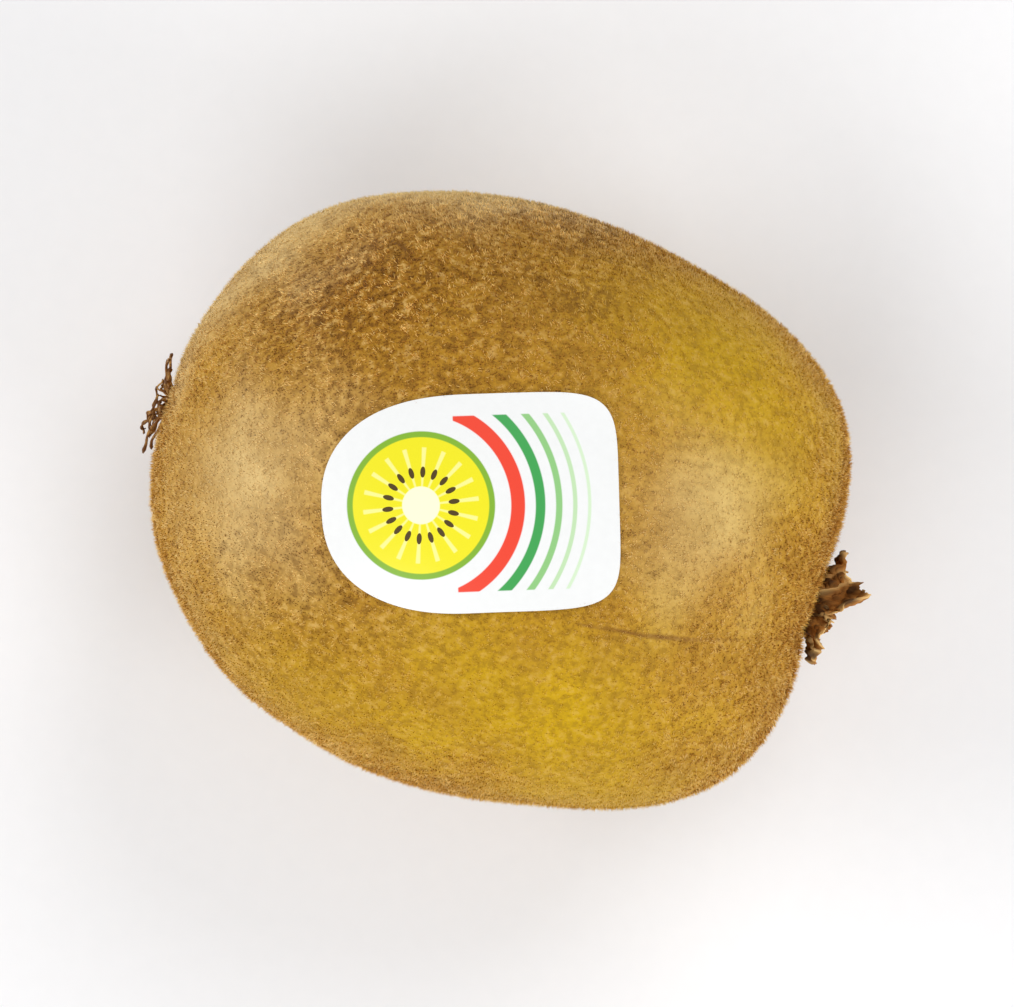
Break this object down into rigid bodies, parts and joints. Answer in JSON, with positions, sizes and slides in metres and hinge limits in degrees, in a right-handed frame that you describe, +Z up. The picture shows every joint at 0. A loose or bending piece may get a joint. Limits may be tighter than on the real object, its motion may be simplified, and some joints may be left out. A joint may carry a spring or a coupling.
{
  "type": "golden kiwifruit",
  "caption": "Whole golden kiwifruit lying on its side, with a fine fuzzy skin, a dry calyx at the stem end, a tuft of dried styles at the other end and a plain printed fruit label on top.",
  "frame": {"origin": "on the surface that the fruit lies on, under the middle of its bounding box", "axes": "+X along the fruit from the blossom end to the stem end, +Y across it towards its fuller side, +Z up"},
  "size_m": [0.0714, 0.0572, 0.0522],
  "materials": {
    "fuzzy_skin": "matte",
    "dry_sepal": "matte",
    "dried_style": "matte",
    "label_paper": "satin"
  },
  "bodies": {
    "root": {"fruit": "fuzzy_skin", "dry_calyx": "dry_sepal", "dried_styles": "dried_style", "label": "label_paper"}
  },
  "joints": []
}
